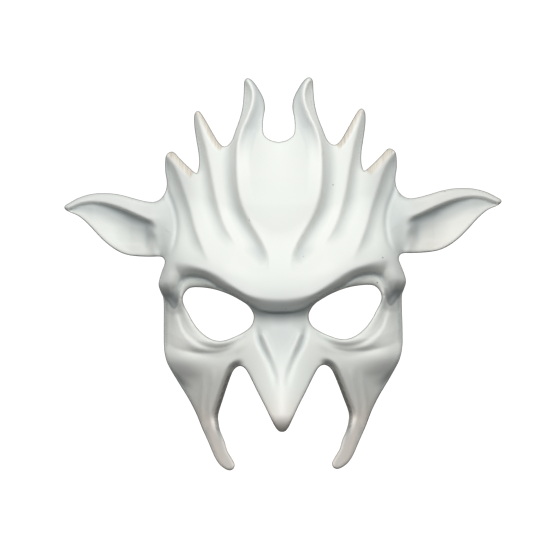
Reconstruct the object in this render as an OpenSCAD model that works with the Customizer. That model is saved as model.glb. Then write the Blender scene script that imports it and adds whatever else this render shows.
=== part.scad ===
// Horned and eared half mask: a cast shell, worn on foam pads and held by an elastic strap.
// The wearer faces -Y. The origin is the inner face of the shell at the bridge of the nose.
// Outlines are drawn for the half at +X, in millimetres, as [x, z] points seen from the front.

/* [Shell] */
// Thickness of the cast shell
wall = 3; // [2.4:0.2:3.6]
// Half width of the ellipse that wraps the head
wrap_half_width = 84; // [82:1:90]
// Half depth of the ellipse that wraps the head
wrap_half_depth = 72; // [60:1:80]
// How far the brow stands over the sockets
brow_depth = 11.5; // [8:0.5:14]
// How far the beak stands out from the face
beak_reach = 44; // [30:1:50]
// Backward slope of the ears, as a rise over a run
ear_slope = 0.4; // [0.2:0.05:0.6]
// Spacing of the points that the skin is drawn through
pitch = 4; // [4:0.5:6]

/* [Pads] */
// Thickness of the foam pads
pad_thick = 6; // [3:1:8]
// Glue line between the shell and what is stuck to it
glue_gap = 0.3; // [0.2:0.1:0.5]

/* [Strap] */
// Width of the elastic strap
strap_w = 20; // [16:1:20]
// Thickness of the elastic strap
strap_t = 1.2; // [1:0.1:1.4]
// Radius of the strap round the back of the head
strap_r = 66; // [64:1:76]
// Distance from the nose to the middle of that curve
strap_back = 124; // [118:1:130]
// Height of the strap above the bridge of the nose
strap_z = 28; // [26:1:29]
// Distance from the nose back to the eyelets
eyelet_y = 45; // [44:1:48]
// Radius of the eyelet's bore
eyelet_bore_r = 2; // [1.5:0.25:2]

/* [Hidden] */
$fn = 48;

// Half outline from the valley between the tall horns round to the tip of the beak
crown = [[0, 103.5], [5, 104.8], [8.8, 108], [9.5, 113], [9.2, 118], [8.2, 124], [9, 130],
    [12, 136], [15.5, 141], [18.5, 142.6], [20.6, 140.5], [21, 133], [21.8, 125], [23.6, 118],
    [26, 111.5], [28.8, 104.5], [32.5, 101.6], [36, 103.8], [40, 110.3], [44, 117.5],
    [47, 122.3], [49, 123.6], [51, 121.5], [51.2, 115], [50, 106], [48.7, 98], [48.4, 92],
    [49, 88], [50.3, 86], [55, 90], [60, 95], [64.2, 99.3], [67.5, 98.6], [69.2, 95.5],
    [69.4, 88], [68.4, 81], [69.2, 75.5]];
ear = [[72, 71.3], [76.1, 69.3], [81.2, 69.7], [88.5, 71.6], [96.8, 74], [105, 75.2],
    [114.1, 75], [122.2, 73], [128.3, 70], [131.9, 67.4], [129.9, 64.6], [123.2, 61.6],
    [117.7, 57], [111.6, 50.5], [106, 45], [99.9, 40.4], [93.7, 37.6], [86.4, 36.4],
    [78.2, 36], [72, 35.9]];
cheek = [[69.8, 34], [69.8, 31.5], [71.4, 27.5], [73.4, 21.5], [73.6, 18], [72.4, 14],
    [71.4, 11], [71.2, 5], [71.4, -8], [71.2, -19], [69.6, -27], [66.8, -33], [62.5, -40.5],
    [57, -49.5], [52.5, -58.5], [48.8, -68], [44.5, -77.5], [41, -85], [37.5, -89.5],
    [33, -92], [30, -91.4], [28.8, -88.6], [30.5, -85], [33.3, -80.5], [35, -75], [37.6, -69],
    [38.8, -64], [38.8, -59], [35.8, -50], [32.8, -41.5], [30, -34.5], [28, -31.6]];
beak = [[25, -30.1], [22.2, -31.2], [19.6, -35], [15, -44], [10, -53.5], [6.4, -61],
    [4, -65.8], [2, -68.3], [0, -68.8]];
// Eye opening
eye = [[59, 10.3], [57.6, 14.2], [54, 17], [47, 17.1], [39, 15.7], [31, 12.8], [25, 9.6],
    [20, 6.2], [17.2, 2.2], [16.4, -1.5], [18, -6], [22, -9.4], [28, -12.4], [34, -14.5],
    [39, -14.6], [44, -12.6], [49, -8.6], [53, -3.4], [56, 2.2], [58.2, 6.5]];
// Lower edge of the brow, from the nose out and down to the point of its outer lobe
brow_edge = [[-6, 2.7], [6, 2.7], [12, 4], [18, 7.2], [24, 11], [30, 15], [36, 19.2],
    [42, 22.4], [48, 24.3], [54, 24.2], [58.6, 22], [61, 18], [61.4, 13], [61.6, 8.5],
    [63.2, 5.6], [65.2, 4.8], [67.4, 7.4], [69.6, 10.2], [72, 12.2], [76, 14]];
// Folds of the forehead, from the horns down
leaf_fold = [[18, 140], [16, 133], [16.6, 126], [19.6, 118], [23.2, 110], [25, 102], [25.6, 92],
    [25.8, 82], [25.2, 74], [22.8, 66.5], [19, 59.5], [14.5, 52], [10.6, 44], [8.4, 37], [7, 22]];
inner_fold = [[50, 121], [48.4, 105], [44, 88], [38.8, 68], [33.8, 52.5], [30.4, 45], [26.5, 39]];
outer_fold = [[67.5, 97], [66.5, 90], [59.5, 72], [53.8, 56], [47.8, 40.5], [44.5, 34]];
// Top of the cheekbone, and the underside of the ear's rolled rim
cheekbone = [[72, -13.5], [66, -17.5], [59, -20.2], [50, -21.6], [41, -21.6], [33, -20.2],
    [26.5, -17.6], [21, -14.6]];
ear_fold = [[72, 54], [76.5, 56.6], [90, 62.6], [98, 66], [106, 68.6], [114, 69.7], [121, 69],
    [132, 65]];

// Where the skin's grid of points runs, rounded out to whole steps
grid_x = 136;
grid_low = -96;
grid_high = 144;
far = 400;

// Shape of the wrap and of the features on it
ear_root = 60;
lean = 0.0013;
leaf_step = 2.7;
fold_step = 2.6;
cheekbone_rise = 3.2;
ear_roll = 2.6;
ear_bowl = 3;

// Strap hardware, measured from the eyelet's axis
tab_x = 61.2;
tab_t = 2.5;
tab_w = 18;
play = 0.05;
gap = 0.1;
chape_t = 3.1;
chape_x = tab_x + tab_t + gap;
wire_r = 1.2;
loop_run = 8;
bar_x = chape_x + chape_t / 2;
front_bar_y = eyelet_y + 19;
rear_bar_y = front_bar_y + loop_run;
barrel_r = eyelet_bore_r + 0.6;
flange_t = 0.8;
flange_r = barrel_r + 2;
washer_t = 0.7;
washer_r = 5;
// Distance of the strap's middle from the bar that it turns round
lay = wire_r + gap + strap_t / 2;
slider_t = 1.2;
slider_len = 11;
slider_at = 24;
slot_play = 0.25;
thread = 0.6;
// The hem at the strap's sewn end, from the bar
hem_start = 10;
hem_end = 24;
strap_reach = norm([bar_x, strap_back - rear_bar_y]);
strap_lean = asin((strap_r + lay) / strap_reach) - atan2(bar_x, strap_back - rear_bar_y);
strap_run = sqrt(pow(strap_reach, 2) - pow(strap_r + lay, 2));

// ---- curves and blends
function clip(t) = max(0, min(1, t));
function smooth(t) = let (c = clip(t)) c * c * (3 - 2 * c);
function tanh(v) = let (e = exp(-2 * abs(v))) sign(v) * (1 - e) / (1 + e);
function bell(v) = exp(-v * v);

// Points of a smooth curve through the given ones, with a given number of steps between each two
function between(a, b, c, d, t) = 0.5 * (2 * b + (c - a) * t + (2 * a - 5 * b + 4 * c - d) * t * t
    + (3 * b - a - 3 * c + d) * t * t * t);
function smooth_open(p, steps) = let (n = len(p)) [
    for (i = [0:n - 2], k = [0:steps - 1])
        between(p[max(i - 1, 0)], p[i], p[i + 1], p[min(i + 2, n - 1)], k / steps),
    p[n - 1]];
function smooth_closed(p, steps) = let (n = len(p)) [
    for (i = [0:n - 1], k = [0:steps - 1])
        between(p[(i + n - 1) % n], p[i], p[(i + 1) % n], p[(i + 2) % n], k / steps)];

// Distance of a point from a line, positive on the left of its way along
function off_segment(a, b, p) = let (e = b - a, w = p - a, d = w - clip((w * e) / (e * e)) * e)
    [norm(d), e.x * w.y < e.y * w.x ? -1 : 1];
function off_line(line, p) = let (
    all = [for (i = [0:len(line) - 2]) off_segment(line[i], line[i + 1], p)],
    least = min([for (s = all) s[0]]))
    least * [for (s = all) if (s[0] == least) s[1]][0];
// A fold's section: low on one side of its line and high on the other, dying away from it
function fold(d, sharp, spread) = tanh(d / sharp) * exp(-abs(d) / spread);

// ---- the outer skin: how far back each point of the front view lies
function wrap(x) = wrap_half_depth * (1 - sqrt(1 - pow(min(x, 77) / wrap_half_width, 2)));
function face_wrap(x, z) = let (up = smooth((z - 24) / 14),
    side = x > ear_root ? wrap(ear_root) + ear_slope * (x - ear_root) : wrap(x))
    wrap(x) * (1 - up) + side * up - wall + lean * z * z;
function brow(x, z) = let (d = off_line(brow_edge, [x, z]),
    lobe = smooth((x - 56) / 8) * smooth((30 - z) / 8),
    rise = 0.43 * smooth((d + 1.5) / 4.5) + 0.57 * smooth((d - 0.8) / 8))
    -brow_depth * rise * (1 - 0.8 * smooth((d - 8) / 30)) * (1 - 0.25 * lobe)
    + 2.5 * smooth((0.5 - d) / 3) * smooth((z + 24) / 20) * smooth((x - 3) / 10);
function forehead(x, z) = let (d = off_line(leaf_fold, [x, z]))
    leaf_step * smooth((z - 24) / 22) * fold(d, 3, d > 0 ? 9 : 12)
    + fold_step * smooth((z - 36) / 24) * (fold(off_line(inner_fold, [x, z]), 3.2, 9)
        + fold(off_line(outer_fold, [x, z]), 3.2, 8));
function cheeks(x, z) = smooth((x - 13) / 10) * (
    -cheekbone_rise * bell((off_line(cheekbone, [x, z]) + 3.5) / 6.5) * smooth((2 - z) / 10)
    + 0.16 * max(0, min(50, -z - 27)) - 0.009 * pow(max(0, -z - 62), 2));
function nose(x, z) = let (down = max(0, min(70, -z - 1)),
    out = beak_reach * (1 - exp(-pow(down / 38, 1.4))),
    across = clip(x / (15 + 0.3 * down)))
    -out * pow(1 - pow(across, 1.7), 1.4);
function ears(x, z) = let (d = off_line(ear_fold, [x, z]),
    taper = smooth((x - 72) / 8) * smooth((z - 30) / 8) * max(0.25, min(1, (132 - x) / 40)))
    taper * (-ear_roll * fold(d, 2.4, 9) + ear_bowl * smooth((-d - 1) / 10) * (1 - smooth((-d - 9) / 14)));
function skin(x, z) = let (h = abs(x))
    face_wrap(h, z) + brow(h, z) + nose(h, z)
    + (z > 24 ? forehead(h, z) : 0) + (z < 12 && h > 13 ? cheeks(h, z) : 0)
    + (h > 72 && z > 30 ? ears(h, z) : 0);

// Skin over a block of grid points, worked out once for each half and mirrored
function steps(a, b) = [for (v = [a:pitch:b + pitch / 4]) v];
function skin_rows(x0, x1, z0, z1) = [for (z = steps(z0, z1)) [for (x = steps(x0, x1)) skin(x, z)]];
// How much further a wall reaches along Y than square to the skin
function slant(rows, i, j) = let (n = len(rows) - 1, m = len(rows[0]) - 1,
    gz = (rows[min(i + 1, n)][j] - rows[max(i - 1, 0)][j]) / (min(i + 1, n) - max(i - 1, 0)),
    gx = (rows[i][min(j + 1, m)] - rows[i][max(j - 1, 0)]) / (min(j + 1, m) - max(j - 1, 0)))
    min(2.2, sqrt(1 + (gx * gx + gz * gz) / (pitch * pitch)));

// ---- shapes
// A block seen from the front, from far before the face to far behind it
module seen_from_front() {
    translate([0, far / 2, 0]) rotate([90, 0, 0]) linear_extrude(far) children();
}

// Keeps a freeform solid as the mesh that it is drawn as
module freeform() {
    resize([0, 0, 0]) children();
}

// A layer between two distances behind the skin, over x0 to x1 and z0 to z1
module layer(x0, x1, z0, z1, near, away) {
    edge = pitch;
    rows = skin_rows(x0 - edge, x1 + edge, z0 - edge, z1 + edge);
    n = len(rows) - 2;
    m = len(rows[0]) - 2;
    function at(i, j, depth) = [x0 + (j - 1) * pitch, rows[i][j] + depth * slant(rows, i, j),
        z0 + (i - 1) * pitch];
    count = n * m;
    points = [for (depth = [near, away], i = [1:n], j = [1:m]) at(i, j, depth)];
    function id(side, i, j) = side * count + i * m + j;
    faces = [
        for (i = [0:n - 2], j = [0:m - 2]) each [
            [id(0, i, j), id(0, i + 1, j), id(0, i + 1, j + 1)],
            [id(0, i, j), id(0, i + 1, j + 1), id(0, i, j + 1)],
            [id(1, i, j), id(1, i + 1, j + 1), id(1, i + 1, j)],
            [id(1, i, j), id(1, i, j + 1), id(1, i + 1, j + 1)]],
        for (j = [0:m - 2], i = [0, n - 1]) each i == 0
            ? [[id(0, i, j), id(0, i, j + 1), id(1, i, j + 1)], [id(0, i, j), id(1, i, j + 1), id(1, i, j)]]
            : [[id(0, i, j), id(1, i, j + 1), id(0, i, j + 1)], [id(0, i, j), id(1, i, j), id(1, i, j + 1)]],
        for (i = [0:n - 2], j = [0, m - 1]) each j == 0
            ? [[id(0, i, j), id(1, i + 1, j), id(0, i + 1, j)], [id(0, i, j), id(1, i, j), id(1, i + 1, j)]]
            : [[id(0, i, j), id(0, i + 1, j), id(1, i + 1, j)], [id(0, i, j), id(1, i + 1, j), id(1, i, j)]]];
    polyhedron(points, faces, convexity = 10);
}

// The same piece on the other side of the face
module mirrored() {
    mirror([1, 0, 0]) children();
}

// ---- mask
module mask_shell() {
    half = smooth_open(concat(crown, ear, cheek, beak), 2);
    other = [for (i = [len(half) - 2:-1:1]) [-half[i].x, half[i].y]];
    color("white") freeform() difference() {
        intersection() {
            layer(-grid_x, grid_x, grid_low, grid_high, 0, wall);
            seen_from_front() polygon(concat(half, other));
        }
        for (side = [1, -1])
            seen_from_front() scale([side, 1]) polygon(smooth_closed(eye, 2));
    }
}

// A foam pad stuck to the inner face: its outline, in the block of grid that holds it
module pad(x0, x1, z0, z1) {
    color("gainsboro") freeform() intersection() {
        layer(x0, x1, z0, z1, wall + glue_gap, wall + glue_gap + pad_thick);
        seen_from_front() children();
    }
}

module brow_pad() {
    pad(-48, 48, 36, 60) translate([0, 48]) offset(r = 8) square([72, 1], center = true);
}

module nose_pad() {
    pad(0, 16, -20, 4) translate([8.5, -8]) rotate(18) scale([1, 2]) circle(4.2, $fn = 24);
}

module cheek_pad() {
    pad(32, 72, -44, -12) translate([53, -28]) rotate(12) offset(r = 6.5) square([14, 1], center = true);
}

// ---- strap hardware, on the left side of the wearer
// Along X at the eyelet's axis
module at_eyelet(x) {
    translate([x, eyelet_y, strap_z]) rotate([0, 90, 0]) children();
}

// A leather tab glued inside the temple, which carries the eyelet behind the edge of the shell
module strap_tab() {
    foot = [54, 68];
    join_y = 36;
    color("tan") difference() {
        union() {
            freeform() difference() {
                union() {
                    intersection() {
                        layer(48, 72, 16, 40, wall + glue_gap, wall + glue_gap + tab_t);
                        seen_from_front() translate([foot[0], strap_z - tab_w / 2])
                            square([foot[1] - foot[0] - 1, tab_w]);
                    }
                    translate([tab_x, 0, strap_z - tab_w / 2]) cube([tab_t, join_y + 2, tab_w]);
                }
                layer(48, 72, 16, 40, -60, wall + glue_gap);
            }
            translate([tab_x, join_y, strap_z - tab_w / 2]) cube([tab_t, eyelet_y - join_y, tab_w]);
            at_eyelet(tab_x) cylinder(h = tab_t, r = tab_w / 2);
        }
        at_eyelet(tab_x - 1) cylinder(h = tab_t + 2, r = barrel_r + play);
    }
}

module eyelet() {
    inner_x = tab_x - washer_t - gap - flange_t;
    outer_x = chape_x + chape_t + gap;
    color("silver") difference() {
        union() {
            at_eyelet(inner_x) cylinder(h = flange_t, r = flange_r - 0.4);
            at_eyelet(inner_x) cylinder(h = outer_x + flange_t - inner_x, r = barrel_r);
            at_eyelet(outer_x) cylinder(h = flange_t, r = flange_r);
        }
        at_eyelet(inner_x - 1) cylinder(h = outer_x + flange_t - inner_x + 2, r = eyelet_bore_r);
    }
}

module washer() {
    color("silver") difference() {
        at_eyelet(tab_x - washer_t - gap / 2) cylinder(h = washer_t, r = washer_r);
        at_eyelet(tab_x - washer_t - 1) cylinder(h = washer_t + 2, r = barrel_r + play);
    }
}

// Webbing folded round the loop's front bar, turning on the eyelet
module chape() {
    color("whitesmoke") difference() {
        union() {
            translate([chape_x, eyelet_y, strap_z - tab_w / 2])
                cube([chape_t, front_bar_y - eyelet_y, tab_w]);
            at_eyelet(chape_x) cylinder(h = chape_t, r = tab_w / 2);
            translate([bar_x, front_bar_y, strap_z - tab_w / 2])
                cylinder(h = tab_w, r = wire_r + gap + chape_t / 2);
        }
        translate([bar_x, front_bar_y, strap_z - tab_w]) cylinder(h = 2 * tab_w, r = wire_r + gap);
        at_eyelet(chape_x - 1) cylinder(h = chape_t + 2, r = barrel_r + play);
    }
}

// A bent wire loop between the chape and the strap
module loop() {
    bend = 1.6;
    half_h = strap_w / 2 + wire_r + 0.4;
    y0 = front_bar_y;
    y1 = rear_bar_y;
    color("silver") translate([bar_x, 0, strap_z]) {
        for (y = [y0, y1])
            translate([0, y, -half_h + bend]) cylinder(h = 2 * (half_h - bend), r = wire_r);
        for (z = [-half_h, half_h])
            translate([0, y0 + bend, z]) rotate([-90, 0, 0]) cylinder(h = loop_run - 2 * bend, r = wire_r);
        for (a = [[y1 - bend, half_h - bend, 0], [y0 + bend, half_h - bend, 90],
                  [y0 + bend, bend - half_h, 180], [y1 - bend, bend - half_h, 270]])
            translate([0, a[0], a[1]]) rotate([a[2], 0, 0]) rotate([90, 0, 90])
                rotate_extrude(angle = 90) translate([bend, 0]) circle(wire_r);
    }
}

// The strap in plan is one ribbon: sewn end, turn round the bar, the head, turn, free end.
// Points are beside the loop's rear bar, across and along the strap, on the side of the given sign
function at_bar(p, side) = let (c = cos(strap_lean), s = sin(strap_lean))
    [side * (bar_x + p.x * c + p.y * s), rear_bar_y - p.x * s + p.y * c];
function reversed(list) = [for (i = [len(list) - 1:-1:0]) list[i]];
strap_turn = [for (a = [180:15:360]) lay * [cos(a), sin(a)]];
sewn_end = [for (y = [hem_start, hem_end]) [strap_t + 0.05 - lay, y]];
free_end = [[lay, strap_run - 1]];
strap_path = concat(
    [for (p = reversed(concat(strap_turn, sewn_end))) at_bar(p, -1)],
    [for (i = [0:48]) let (a = 180 + strap_lean - i * (180 + 2 * strap_lean) / 48)
        [strap_r * cos(a), strap_back + strap_r * sin(a)]],
    [for (p = concat(strap_turn, free_end)) at_bar(p, 1)]);
// One edge of a ribbon along a path, a given distance to its left
function ribbon_edge(path, off) = let (n = len(path) - 1) [for (i = [0:n])
    let (a = path[i] - path[max(i - 1, 0)], b = path[min(i + 1, n)] - path[i],
        u = i == 0 ? b / norm(b) : a / norm(a), v = i == n ? u : b / norm(b), w = u + v)
    path[i] + off * 2 * [-w.y, w.x] / (w * w)];

module head_strap() {
    color("ivory") translate([0, 0, strap_z - strap_w / 2]) linear_extrude(strap_w)
        polygon(concat(ribbon_edge(strap_path, strap_t / 2), reversed(ribbon_edge(strap_path, -strap_t / 2))));
}

// Rows of thread through a doubled strap: its middle's place along Y, and how thick it is there
module stitch_rows(rows, x, y, thick, width) {
    for (k = [0:rows - 1])
        translate([x - thick / 2, y + 2 * k - thread / 2, strap_z - width / 2]) cube([thick, thread, width]);
}

module chape_stitches() {
    for (side = [0, 1]) color("white") mirror([side, 0, 0])
        stitch_rows(2, bar_x, front_bar_y - 6.5, chape_t + thread, tab_w - 5);
}

module strap_stitches() {
    color("white") mirror([1, 0, 0]) translate([bar_x, rear_bar_y, 0]) rotate(-strap_lean)
        stitch_rows(3, strap_t / 2 - lay, hem_start + 3, 2 * strap_t + thread, strap_w - 5);
}

// A moulded slide with one slot for each layer of the strap
module strap_slider() {
    slot = strap_t + 2 * slot_play;
    half_x = lay + slot / 2 + slider_t;
    half_z = strap_w / 2 + slot_play + 2.4;
    color("ivory") translate([bar_x, rear_bar_y, strap_z]) rotate(-strap_lean)
        translate([0, slider_at, 0]) difference() {
            translate([-half_x, -slider_len / 2, -half_z]) cube([2 * half_x, slider_len, 2 * half_z]);
            for (x = [-lay, lay])
                translate([x - slot / 2, -slider_len, -strap_w / 2 - slot_play])
                    cube([slot, 2 * slider_len, strap_w + 2 * slot_play]);
        }
}

mask_shell();
brow_pad();
nose_pad();  // left_nose_pad
mirrored() nose_pad();  // right_nose_pad
cheek_pad();  // left_cheek_pad
mirrored() cheek_pad();  // right_cheek_pad
strap_tab();  // left_strap_tab
mirrored() strap_tab();  // right_strap_tab
eyelet();  // left_eyelet
mirrored() eyelet();  // right_eyelet
washer();  // left_washer
mirrored() washer();  // right_washer
chape();  // left_chape
mirrored() chape();  // right_chape
chape_stitches();
loop();  // left_loop
mirrored() loop();  // right_loop
head_strap();
strap_stitches();
strap_slider();
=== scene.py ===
import math

import bmesh
import bpy
import numpy as np
from mathutils import Matrix, Vector
from mathutils.geometry import delaunay_2d_cdt


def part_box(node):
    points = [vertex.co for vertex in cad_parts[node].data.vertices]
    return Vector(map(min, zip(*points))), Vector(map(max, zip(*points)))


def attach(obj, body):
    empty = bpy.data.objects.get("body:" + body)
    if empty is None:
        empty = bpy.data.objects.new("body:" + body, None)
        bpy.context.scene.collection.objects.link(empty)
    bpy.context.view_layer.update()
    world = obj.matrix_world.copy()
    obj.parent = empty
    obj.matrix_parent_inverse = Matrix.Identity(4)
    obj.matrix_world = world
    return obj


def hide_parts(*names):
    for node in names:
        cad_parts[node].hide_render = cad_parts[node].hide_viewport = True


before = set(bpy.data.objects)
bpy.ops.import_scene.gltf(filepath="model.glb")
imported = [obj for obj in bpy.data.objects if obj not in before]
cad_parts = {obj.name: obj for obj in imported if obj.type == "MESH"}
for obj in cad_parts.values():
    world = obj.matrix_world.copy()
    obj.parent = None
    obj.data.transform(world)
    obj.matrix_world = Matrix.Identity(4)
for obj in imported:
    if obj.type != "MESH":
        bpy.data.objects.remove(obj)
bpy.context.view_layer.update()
MM = 0.001

# ---- Mask shell
# One casting about 3 mm thick: horns, ears, brow, beak and cheeks all grow out of the same skin.
# It was sculpted in clay, moulded, cast in a cream compound and painted matte white in front.
# Lines are drawn on the half at +X, as (x, z) in millimetres seen from the front, and mirrored.
WALL = 3.0
CROWN = [(0, 103.5), (5, 104.8), (8.8, 108), (9.5, 113), (9.2, 118), (8.2, 124), (9, 130), (12, 136),
         (15.5, 141), (18.5, 142.6), (20.6, 140.5), (21, 133), (21.8, 125), (23.6, 118), (26, 111.5),
         (28.8, 104.5), (32.5, 101.6), (36, 103.8), (40, 110.3), (44, 117.5), (47, 122.3), (49, 123.6),
         (51, 121.5), (51.2, 115), (50, 106), (48.7, 98), (48.4, 92), (49, 88), (50.3, 86), (55, 90),
         (60, 95), (64.2, 99.3), (67.5, 98.6), (69.2, 95.5), (69.4, 88), (68.4, 81), (69.2, 75.5)]
EAR = [(72, 71.3), (76, 69.3), (81, 69.7), (88, 71.6), (96, 74), (104, 75.2), (113, 75), (121, 73),
       (127, 70), (130.6, 67.4), (128.6, 64.6), (122, 61.6), (116.5, 57), (110.5, 50.5), (105, 45),
       (99, 40.4), (93, 37.6), (86, 36.4), (78, 36), (72, 35.9)]
TEMPLE_TO_TINE = [(69.8, 34), (69.8, 31.5), (71.4, 27.5), (73.4, 21.5), (73.6, 18), (72.4, 14),
                  (71.4, 11), (71.2, 5), (71.4, -8), (71.2, -19), (69.6, -27), (66.8, -33),
                  (62.5, -40.5), (57, -49.5), (52.5, -58.5), (48.8, -68), (44.5, -77.5), (41, -85),
                  (37.5, -89.5), (33, -92), (30, -91.4), (28.8, -88.6), (30.5, -85), (33.3, -80.5),
                  (35, -75), (37.6, -69), (38.8, -64), (38.8, -59), (35.8, -50), (32.8, -41.5),
                  (30, -34.5), (28, -31.6)]
BEAK = [(25, -30.1), (22.2, -31.2), (19.6, -35), (15, -44), (10, -53.5), (6.4, -61), (4, -65.8),
        (2, -68.3), (0, -68.8)]
EYE = [(59, 10.3), (57.6, 14.2), (54, 17), (47, 17.1), (39, 15.7), (31, 12.8), (25, 9.6), (20, 6.2),
       (17.2, 2.2), (16.4, -1.5), (18, -6), (22, -9.4), (28, -12.4), (34, -14.5), (39, -14.6),
       (44, -12.6), (49, -8.6), (53, -3.4), (56, 2.2), (58.2, 6.5)]
BROW_EDGE = [(-12, 3.6), (0, 2.2), (8, 2.6), (14, 4.2), (18, 6.6), (22, 9.2), (26, 11.4), (31, 14),
             (36, 16.8), (39.5, 18.8), (44, 21.6), (49.5, 23.5), (54.3, 23.3), (58.4, 21.2),
             (60.8, 16.5), (61.4, 10), (62.6, 5.8), (64.6, 4.5), (66.6, 6.2), (69, 9.6), (72, 12.4),
             (77, 14.6)]
BROW_CREST = [(-12, 10.8), (0, 10), (10, 10.8), (18.3, 12.4), (24, 15.4), (30, 19.6), (36.3, 24),
              (43, 27.6), (51.3, 30.6), (57.3, 32.2), (63.2, 33), (67, 29.5), (69, 24), (72.5, 20.6),
              (76, 18.5)]
LEAF = [(18.6, 141), (16.4, 137), (15.4, 132), (16.2, 126), (19, 118.5), (22.4, 111), (24.6, 103.5),
        (25.4, 95), (25.6, 86), (25.2, 78), (24, 70.5), (21.4, 62.5), (17.6, 55), (13.4, 48),
        (9.8, 41.5), (7.4, 35), (6.2, 26)]
CREST_2 = [(49.2, 123.5), (48, 115.5), (46.2, 108), (44.4, 101.5), (43.2, 95), (41.6, 87), (40.1, 78),
           (38.3, 69), (35.2, 58.5), (31.9, 51), (27, 43.5), (22, 38)]
CREST_3 = [(69.3, 99), (67.6, 96), (64.2, 91), (61.5, 85.5), (59, 78.5), (56.5, 71), (53.7, 62.5),
           (51.5, 54), (48.5, 45.5), (45, 37.5), (41, 31)]
WEB = [(70, 84), (69.2, 80), (67, 73), (64.5, 66.7), (62.7, 60.5), (62.1, 54), (62.6, 48.5), (63.8, 43),
       (66.5, 37.5), (69, 34)]
BEVEL_2 = [(48.4, 124), (46.6, 122.4), (44, 117.5), (40, 110.3), (36, 103.8), (33.4, 101.8)]
BEVEL_3 = [(67.5, 99.6), (64.2, 99.3), (60, 95), (55, 90), (50.3, 86)]
HELIX = [(70, 52.6), (76.5, 56.6), (83, 59.6), (90, 62.8), (98, 66.2), (106, 68.7), (114, 69.8),
         (121, 69.2), (127, 67), (132, 64.6)]
TRAGUS = [(78.2, 52), (78.4, 49), (77.6, 45), (76, 40.5), (74.5, 36)]
LID = [(62.6, 8), (61.5, 1.5), (59.3, -6), (56.6, -10.3), (53.1, -13.6), (46.5, -17.6), (38.1, -19),
       (28.5, -16.8), (21.3, -12), (17.5, -8.5)]
WRINKLE = [(64.6, 2), (63.2, -5), (60.9, -10.5), (58.3, -14), (54.5, -16.9)]
WRINKLE_2 = [(60.6, 4), (58.8, -2.2), (56, -7.4), (52, -11.6)]
CHEEKBONE = [(73, -15), (67.5, -17.5), (60.9, -20), (51.3, -21.7), (39.3, -21.9), (32.1, -20.4),
             (24.9, -17.5), (18.5, -14.6)]
CHEEK_UNDER = [(72, -26), (68, -31), (62.5, -36.5), (57, -40.4), (52, -43)]
STREAK_1 = [(46, -33), (47.6, -43), (49, -54), (48.6, -64)]
STREAK_2 = [(40, -31), (42, -41), (44, -53), (45, -64)]
GROOVE = [(14.8, -5), (12.9, -15.6), (9.6, -22.8), (6.6, -28.8), (4.2, -36), (3.2, -44)]
ALAR = [(12.4, -9.8), (9.9, -13.5), (7.8, -18), (5.8, -23), (4, -29)]
# Depths of the big forms, in millimetres
WRAP_WIDE, WRAP_DEEP, WRAP_END = 84, 72, 77
EAR_SWEEP, EAR_STEP = 0.42, 5.5
LEAN = 0.0013
BROW_LIP, BROW_OVERHANG, LOBE_TUCK = 3.0, 12.5, 9.0
LID_SWELL, SOCKET = 5.0, 1.6
BEAK_REACH, BEAK_HOOK, BEAK_END = 44, 9, -68.8
CHEEK_SWELL, JAW_BACK, TINE_FORWARD = 7.0, 0.40, 0.74
# Depths of the tool marks
EAR_ROLL, EAR_BOWL, EAR_KNOB = 3.4, 6.0, 1.4
LEDGE_CUT, SHELF_OUT, JAW_CUT, GAP_ROLL = 1.3, 5.4, 3.6, 8.5
# Strokes: the line, its depth (negative stands proud), its half width, and the share that fades at each end
STROKES = [(WEB, 1.1, 1.3, 0.1, 0.3), (LID, 0.6, 1.3, 0.2, 0.25), (WRINKLE, 0.3, 0.9, 0.25, 0.3),
           (WRINKLE_2, 0.35, 0.8, 0.25, 0.3), (STREAK_1, -0.8, 1.5, 0.3, 0.3),
           (STREAK_2, -0.8, 1.5, 0.3, 0.3), (GROOVE, 2.0, 1.7, 0.2, 0.3), (ALAR, -1.9, 2.0, 0.15, 0.5)]


def spline(points, per=6, closed=False):
    """Points of a smooth curve through the given ones, with per steps between each two."""
    p = np.array(points, float)
    n = len(p)
    spans = n if closed else n - 1
    wrap = (lambda i: i % n) if closed else (lambda i: min(max(i, 0), n - 1))
    out = []
    for i in range(spans):
        a, b, c, d = (p[wrap(i + k)] for k in (-1, 0, 1, 2))
        square, cube = 2 * a - 5 * b + 4 * c - d, 3 * b - a - 3 * c + d
        for t in np.arange(per) / per:
            out.append(0.5 * (2 * b + (c - a) * t + square * t**2 + cube * t**3))
    return np.array(out if closed else out + [p[-1]])


def near(line, x, z, closed=False):
    """Distance from a line, positive on the left of its way along, and the share of it passed."""
    ends = np.roll(line, -1, axis=0) if closed else line[1:]
    starts = line if closed else line[:-1]
    best = np.full(x.shape, 1e12)
    sign = np.ones(x.shape)
    along = np.zeros(x.shape)
    for k, (a, b) in enumerate(zip(starts, ends)):
        ex, ez = b - a
        wx, wz = x - a[0], z - a[1]
        t = np.clip((wx * ex + wz * ez) / (ex * ex + ez * ez), 0, 1)
        gap = (wx - t * ex) ** 2 + (wz - t * ez) ** 2
        closer = gap < best
        best = np.where(closer, gap, best)
        sign = np.where(closer, np.where(ex * wz - ez * wx < 0, -1.0, 1.0), sign)
        along = np.where(closer, (k + t) / len(starts), along)
    return np.sqrt(best) * sign, along


def beside(line, x, z):
    """The same for one of the lines drawn above."""
    return near(spline(line), x, z)


def rise(v, nothing_at, full_at):
    """Eases from zero where v is nothing_at to one where it is full_at."""
    c = np.clip((v - nothing_at) / (full_at - nothing_at), 0, 1)
    return c * c * (3 - 2 * c)


def ramp(v, soft):
    """Zero below nothing and v above it, with the corner rounded over a soft width."""
    return soft * np.logaddexp(0, v / soft)


def hump(v, at, width):
    return np.exp(-(((v - at) / width) ** 2))


def faded(t, start, end):
    """One along the middle of a line, dying away over a share of it at each end."""
    return (rise(t, 0, start) if start else 1) * (rise(t, 1, 1 - end) if end else 1)


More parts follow.
